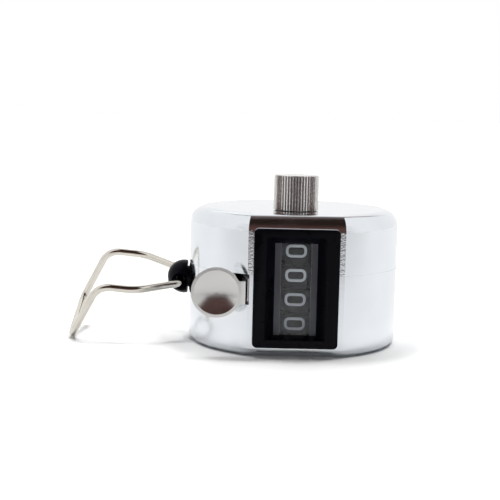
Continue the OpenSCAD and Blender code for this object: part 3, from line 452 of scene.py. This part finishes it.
def numeral_tree():
    """Nodes that round a numeral's centre lines, give them a flat stroke and wrap them round a wheel."""
    tree = bpy.data.node_groups.new("stamped_numerals", "GeometryNodeTree")
    tree.interface.new_socket("Geometry", in_out="INPUT", socket_type="NodeSocketGeometry")
    for name in ("Stroke", "Corner", "Relief", "Radius"):
        tree.interface.new_socket(name, in_out="INPUT", socket_type="NodeSocketFloat")
    tree.interface.new_socket("Ink", in_out="INPUT", socket_type="NodeSocketMaterial")
    tree.interface.new_socket("Geometry", in_out="OUTPUT", socket_type="NodeSocketGeometry")
    given = add(tree, "NodeGroupInput").outputs
    lines = add(tree, "GeometryNodeMeshToCurve", {"Mesh": given["Geometry"]}).outputs[0]
    rounded = add(tree, "GeometryNodeFilletCurve", {
        "Curve": lines, "Count": 8, "Radius": given["Corner"], "Limit Radius": True},
        mode="POLY").outputs[0]
    fine = add(tree, "GeometryNodeResampleCurve", {
        "Curve": rounded, "Length": NUMERAL_STEP}, mode="LENGTH").outputs[0]
    upright = add(tree, "GeometryNodeSetCurveNormal", {"Curve": fine}, mode="Z_UP").outputs[0]
    section = add(tree, "GeometryNodeCurvePrimitiveQuadrilateral", {
        "Width": given["Stroke"], "Height": given["Relief"]}, mode="RECTANGLE").outputs[0]
    strokes = add(tree, "GeometryNodeCurveToMesh", {
        "Curve": upright, "Profile Curve": section, "Fill Caps": True}).outputs[0]
    place = add(tree, "GeometryNodeInputPosition").outputs[0]
    flat = add(tree, "ShaderNodeSeparateXYZ", {"Vector": place}).outputs
    angle = add(tree, "ShaderNodeMath", {
        0: flat["X"], 1: given["Radius"]}, operation="DIVIDE").outputs[0]
    reach = add(tree, "ShaderNodeMath", {0: given["Radius"], 1: flat["Z"]}, operation="ADD").outputs[0]
    sine = add(tree, "ShaderNodeMath", {0: angle}, operation="SINE").outputs[0]
    cosine = add(tree, "ShaderNodeMath", {0: angle}, operation="COSINE").outputs[0]
    across = add(tree, "ShaderNodeMath", {0: sine, 1: reach}, operation="MULTIPLY").outputs[0]
    depth = add(tree, "ShaderNodeMath", {0: cosine, 1: reach}, operation="MULTIPLY").outputs[0]
    front = add(tree, "ShaderNodeMath", {0: depth, 1: -1.0}, operation="MULTIPLY").outputs[0]
    wrapped = add(tree, "ShaderNodeCombineXYZ", {"X": across, "Y": front, "Z": flat["Y"]}).outputs[0]
    placed = add(tree, "GeometryNodeSetPosition", {"Geometry": strokes, "Position": wrapped}).outputs[0]
    whole = add(tree, "GeometryNodeRealizeInstances", {"Geometry": placed}).outputs[0]
    inked = add(tree, "GeometryNodeSetMaterial", {"Geometry": whole, "Material": given["Ink"]}).outputs[0]
    add(tree, "NodeGroupOutput", {"Geometry": inked})
    return tree


def numerals(wheel, tree, ink):
    """Ten numerals round a wheel, lying on their sides with their tops toward the left of the window."""
    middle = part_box(f"{wheel}_wheel")[1].z - RIM_INSET - BAND_H / 2
    half_w = (NUMERAL_W - NUMERAL_STROKE) / 2
    half_h = (NUMERAL_H - NUMERAL_STROKE) / 2
    step = math.tau * WHEEL_R / DIGITS
    points, edges = [], []
    for digit, strokes in STROKES.items():
        for kind, corners in strokes:
            first = len(points)
            points += [(digit * step - up * half_h, across * half_w, 0) for across, up in corners]
            edges += [(i, i + 1) for i in range(first, len(points) - 1)]
            if kind == "loop":
                edges.append((len(points) - 1, first))
    mesh = bpy.data.meshes.new("numeral_lines")
    mesh.from_pydata(points, edges, [])
    obj = mesh_object(f"{wheel}_numerals", mesh)
    modifier = obj.modifiers.new("strokes", "NODES")
    modifier.node_group = tree
    values = {"Stroke": NUMERAL_STROKE, "Corner": NUMERAL_CORNER, "Relief": NUMERAL_RELIEF,
              "Radius": WHEEL_R, "Ink": ink}
    for item in tree.interface.items_tree:
        if item.name in values:
            modifier[item.identifier] = values[item.name]
    settled(obj)
    obj.data.transform(Matrix.Translation((AXIS.x, AXIS.y, middle)))
    return obj


def rounded_copy(node, name, width):
    """Copy of a node with its sharp edges rounded."""
    shape = bmesh.new()
    shape.from_mesh(NODES[node].data)
    bmesh.ops.remove_doubles(shape, verts=shape.verts, dist=WELD)
    bmesh.ops.dissolve_limit(
        shape, angle_limit=math.radians(FLAT_ANGLE), verts=shape.verts, edges=shape.edges)
    mesh = bpy.data.meshes.new(name)
    shape.to_mesh(mesh)
    shape.free()
    obj = mesh_object(name, mesh)
    rounding = obj.modifiers.new("rounding", "BEVEL")
    rounding.width = width
    rounding.segments = 3
    rounding.limit_method = "ANGLE"
    rounding.angle_limit = math.radians(SHARP_ANGLE)
    settled(obj)
    obj.data.shade_smooth()
    obj.data.set_sharp_from_angle(angle=math.radians(SHARP_ANGLE))
    return obj


def mended_copy(node, name):
    """Copy of a node; corner normals far off their face, at the poles of spheres, are set back to it."""
    mesh = NODES[node].data.copy()
    mesh.name = name
    normals = [corner.vector.copy() for corner in mesh.corner_normals]
    for face in mesh.polygons:
        for corner in face.loop_indices:
            if normals[corner].angle(face.normal, 0) > math.radians(POLE_ANGLE):
                normals[corner] = face.normal.copy()
    mesh.normals_split_custom_set(normals)
    return mesh_object(name, mesh)


def put_on(obj, body, node, material):
    """Let a piece stand for a node: it rides on the body and takes the given finish."""
    dress(obj, material)
    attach(obj, body)
    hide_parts(node)


def card_glow(name, stops, patch, strength):
    """Glow of a card: colours along it, slow patches, and edges that fade out."""
    made, tree, where = new_finish(name)
    patches = add(tree, "ShaderNodeTexNoise", {
        "Vector": where, "Scale": per_mm(patch), "Detail": 2.0}).outputs["Fac"]
    level = add(tree, "ShaderNodeMapRange", {
        "Value": patches, "From Min": NOISE_LOW, "From Max": NOISE_HIGH,
        "To Min": (1 - CARD_SWING) * strength, "To Max": (1 + CARD_SWING) * strength}).outputs[0]
    along = add(tree, "ShaderNodeAttribute", attribute_name="along").outputs["Fac"]
    tint = add(tree, "ShaderNodeValToRGB", {"Fac": along})
    ends = tint.color_ramp.elements
    ends[0].color, ends[1].color = colour(stops[0]), colour(stops[-1])
    for at, code in stops[1:-1]:
        ends.new(at).color = colour(code)
    inside = add(tree, "ShaderNodeAttribute", attribute_name="inside").outputs["Fac"]
    cover = add(tree, "ShaderNodeMapRange", {
        "Value": inside, "From Min": 0.0, "From Max": CARD_FADE},
        interpolation_type="SMOOTHSTEP").outputs[0]
    glow = add(tree, "ShaderNodeEmission", {"Color": tint.outputs[0], "Strength": level}).outputs[0]
    clear = add(tree, "ShaderNodeBsdfTransparent").outputs[0]
    surface = add(tree, "ShaderNodeMixShader", {0: cover, 1: clear, 2: glow}).outputs[0]
    add(tree, "ShaderNodeOutputMaterial", {"Surface": surface})
    return made


def soft_card(name, place, stops, patch, strength=1.0, foot=1):
    """Glowing card that only mirrors see, with patches of that many millimetres. Its first edge fades
    faster by the factor foot."""
    points, faces, depths, rise = [], [], [], []
    for row in range(CARD_STEPS + 1):
        for column in range(CARD_STEPS + 1):
            u, v = column / CARD_STEPS, row / CARD_STEPS
            points.append(place(u, v))
            depths.append(min(u, 1 - u, foot * v, 1 - v))
            rise.append(v)
            if row and column:
                here = len(points) - 1
                faces.append((here, here - 1, here - CARD_STEPS - 2, here - CARD_STEPS - 1))
    mesh = bpy.data.meshes.new(name)
    mesh.from_pydata(points, [], faces)
    mesh.attributes.new("inside", "FLOAT", "POINT").data.foreach_set("value", depths)
    mesh.attributes.new("along", "FLOAT", "POINT").data.foreach_set("value", rise)
    obj = mesh_object(name, mesh)
    dress(obj, card_glow(name, stops, patch, strength))
    obj.visible_camera = False
    obj.visible_diffuse = False
    obj.visible_transmission = False
    obj.visible_shadow = False


def room_front(u, v):
    """Point of the dim room that stands in front of the table and leans over it. It ends further back
    to the right and at its left side, and it is wider low down and at its far end."""
    end = ROOM_END + ROOM_END_RIGHT * (u - 0.4) + ROOM_END_LEFT * max(0, 0.3 - u)
    angle = math.radians(ROOM_START + (end - ROOM_START) * v)
    low, far = math.sin(math.pi * ramp(v, 0, 0.5)), ramp(v, 0.75, 0.875)
    half = ROOM_HALF + ROOM_HALF_LOW * low + ROOM_HALF_FAR * far
    middle = ROOM_MIDDLE - ROOM_FOOT_LEFT * ramp(v, 0.5, 0.3)
    return (middle + half * (2 * u - 1), -ROOM_R * math.cos(angle),
            max(ROOM_R * math.sin(angle), CARD_LOWEST))


def room_sides(u, v):
    """Point of the paler sides of that room, which stand round the front of the table."""
    turn = math.radians(SIDES_TURN * (u - 0.5))
    rise = math.radians(SIDES_START + SIDES_RISE * v)
    return (SIDES_R * math.sin(turn) * math.cos(rise), -SIDES_R * math.cos(turn) * math.cos(rise),
            max(SIDES_R * math.sin(rise), CARD_LOWEST))


def flat_card(start, way, widths):
    """Function that gives the points of a flat card, from the middle of its first edge, the way to its
    far edge and the widths of the two, in metres."""
    def place(u, v):
        half = (widths[0] + (widths[1] - widths[0]) * v) / 2
        return (start[0] + way[0] * v + half * (2 * u - 1), start[1] + way[1] * v, start[2] + way[2] * v)
    return place


def mirrored_room():
    """Cards that the metal mirrors: the dim room in front with its foot and its paler sides, the darker
    table before it, and a bright window behind."""
    foot = flat_card(start=(-0.07, PAPER_EDGE, 0.0008), way=(0, -0.3, 0), widths=(0.12, 0.22))
    table = flat_card(start=(0, PAPER_EDGE, 0.0005), way=(0, -0.4, 0), widths=(0.2, 0.2))
    window = flat_card(start=(0, 0.55, 0.3), way=(0, -0.15, 0.25), widths=(0.6, 0.6))
    soft_card("dim_room", room_front, ROOM_COLOURS, patch=60, foot=4)
    soft_card("dark_foot", foot, ("#5c5050", "#3c2f30"), patch=60)
    soft_card("grey_sides", room_sides, ("#eceded", "#f2f3f3"), patch=80)
    soft_card("table_front", table, ("#a8a8a8", "#a0a0a0"), patch=20)
    soft_card("window_back", window, ("#ffffff", "#ffffff"), patch=200, strength=1.12)


def white_surround():
    """World that is white to the eye, straight or by way of a mirror or a lens, and gives little light."""
    world = bpy.data.worlds.new("white_surround")
    bpy.context.scene.world = world
    world.use_nodes = True
    tree = world.node_tree
    tree.nodes.clear()
    seen = add(tree, "ShaderNodeLightPath").outputs
    bent = add(tree, "ShaderNodeMath", {
        0: seen["Is Glossy Ray"], 1: seen["Is Transmission Ray"]}, operation="MAXIMUM").outputs[0]
    to_eye = add(tree, "ShaderNodeMath", {
        0: bent, 1: seen["Is Camera Ray"]}, operation="MAXIMUM").outputs[0]
    level = add(tree, "ShaderNodeMapRange", {
        "Value": to_eye, "To Min": SHADE_LEVEL, "To Max": 1.0}).outputs[0]
    sky = add(tree, "ShaderNodeBackground", {"Color": (1, 1, 1, 1), "Strength": level}).outputs[0]
    add(tree, "ShaderNodeOutputWorld", {"Surface": sky})


def white_paper():
    # White paper: matt, white to the eye but for the shadow on it, a little darker in mirrors toward the
    # dim room, and clear from below.
    made, tree, where = new_finish("white_paper")
    seen = add(tree, "ShaderNodeLightPath").outputs
    forward = add(tree, "ShaderNodeSeparateXYZ", {"Vector": where}).outputs["Y"]
    toward_room = add(tree, "ShaderNodeMapRange", {
        "Value": forward, "From Min": PAPER_EDGE, "From Max": PAPER_BACK,
        "To Min": PAPER_IN_MIRRORS[0], "To Max": PAPER_IN_MIRRORS[1]},
        interpolation_type="SMOOTHSTEP").outputs[0]
    mirrored = add(tree, "ShaderNodeMix", {
        0: seen["Is Glossy Ray"], 2: PAPER_WHITE, 3: toward_room}).outputs[0]
    straight = add(tree, "ShaderNodeMath", {
        0: seen["Is Camera Ray"], 1: seen["Is Transmission Ray"]}, operation="MAXIMUM").outputs[0]
    white = add(tree, "ShaderNodeMix", {0: straight, 2: mirrored, 3: PAPER_TO_EYE}).outputs[0]
    tint = add(tree, "ShaderNodeCombineXYZ", {"X": white, "Y": white, "Z": white}).outputs[0]
    sheet = add(tree, "ShaderNodeBsdfDiffuse", {"Color": tint}).outputs[0]
    open_below = add(tree, "ShaderNodeBsdfTransparent").outputs[0]
    under = add(tree, "ShaderNodeNewGeometry").outputs["Backfacing"]
    surface = add(tree, "ShaderNodeMixShader", {0: under, 1: sheet, 2: open_below}).outputs[0]
    add(tree, "ShaderNodeOutputMaterial", {"Surface": surface})
    return made


def paper_table():
    """Round sheet that the counter stands on, open under the case so that the base shows from below."""
    turns = [math.tau * i / PAPER_SIDES for i in range(PAPER_SIDES)]
    rim = [(math.cos(turn), math.sin(turn)) for turn in turns]
    points = [(HOLE_R * x, max(HOLE_R * y, HOLE_FRONT), PAPER_Z) for x, y in rim]
    points += [(PAPER_R * x, PAPER_R * y, PAPER_Z) for x, y in rim]
    after = [(i + 1) % PAPER_SIDES for i in range(PAPER_SIDES)]
    faces = [(i, PAPER_SIDES + i, PAPER_SIDES + j, j) for i, j in enumerate(after)]
    mesh = bpy.data.meshes.new("table")
    mesh.from_pydata(points, [], faces)
    table = mesh_object("table", mesh)
    dress(table, white_paper())


def lamps():
    """Soft lamps far overhead, which together light the paper at a plain level."""
    for name, lean, side, share, width in LAMPS:
        lamp = bpy.data.lights.new(name, "SUN")
        tilt = Euler((math.radians(-lean), math.radians(side), 0))
        down = tilt.to_matrix().col[2].z
        lamp.energy = LIGHT_LEVEL * math.pi * share / down
        lamp.angle = math.radians(width)
        obj = bpy.data.objects.new(name, lamp)
        obj.rotation_euler = tilt
        obj.visible_glossy = False
        bpy.context.scene.collection.objects.link(obj)


def place_camera():
    """Camera at the photograph's place, with its slight roll."""
    data = bpy.data.cameras.new("camera")
    data.sensor_width = SENSOR_MM
    data.lens = FOCAL_PX / FRAME_PX * SENSOR_MM
    data.clip_start = CAMERA_NEAR
    data.clip_end = CAMERA_FAR
    camera = bpy.data.objects.new("camera", data)
    bpy.context.scene.collection.objects.link(camera)
    a, e, r = (math.radians(x) for x in (CAMERA_AZIMUTH, CAMERA_ELEVATION, CAMERA_ROLL))
    back = Vector((math.sin(a) * math.cos(e), -math.cos(a) * math.cos(e), math.sin(e)))
    right = Vector((math.cos(a), math.sin(a), 0))
    up = back.cross(right)
    rolled_right = right * math.cos(r) + up * math.sin(r)
    rolled_up = up * math.cos(r) - right * math.sin(r)
    turn = Matrix((rolled_right, rolled_up, back)).transposed()
    camera.matrix_world = Matrix.Translation(CAMERA_AT) @ turn.to_4x4()
    bpy.context.scene.camera = camera


place_camera()
white_surround()
paper_table()
lamps()
mirrored_room()

FINISHES = {
    "chrome": chrome_plate("chrome_plate", "#dde1e6", "#e8ebee", 0.11),
    "nickel_wire": nickel_wire(),
    "knurled_steel": knurled_steel(),
    "black_plastic": black_abs(),
    "clear_plastic": clear_acrylic(),
    "wheel_plastic": grey_acetal(),
    "spring_steel": works_metal("spring_steel", "#6c6d72", "#85868a", 0.22, 0.38),
    "steel": works_metal("zinc_plated_steel", "#94969a", "#b2b3b5", 0.26, 0.42),
    "brass": works_metal("turned_brass", "#a5803d", "#c29c57", 0.22, 0.36),
}
for part in frame["record"]["subparts"]:
    dress(NODES[part["node"]], FINISHES[part["material_slot"]])

dress(NODES["upper_shell"], chrome_plate("grained_chrome", "#dde1e6", "#e8ebee", 0.11, grain=0.8))

numeral_nodes = numeral_tree()
numeral_ink = stamped_ink()
for wheel in WHEELS:
    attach(numerals(wheel, numeral_nodes, numeral_ink), wheel)

bezel = rounded_copy("window_bezel", "window_frame", FRAME_ROUNDING)
put_on(bezel, "case", "window_bezel", FINISHES["black_plastic"])

lever = mended_copy("thumb_lever", "pressed_lever")
# lever chrome with a painted shade on its forward faces
lever_shaded_chrome = chrome_plate("lever_chrome_painted_shade", "#e6e8ea", "#f0f1f2", 0.14, front_shade="#cbcac8")
put_on(lever, "lever", "thumb_lever", lever_shaded_chrome)

bpy.context.scene.view_settings.view_transform = "Standard"
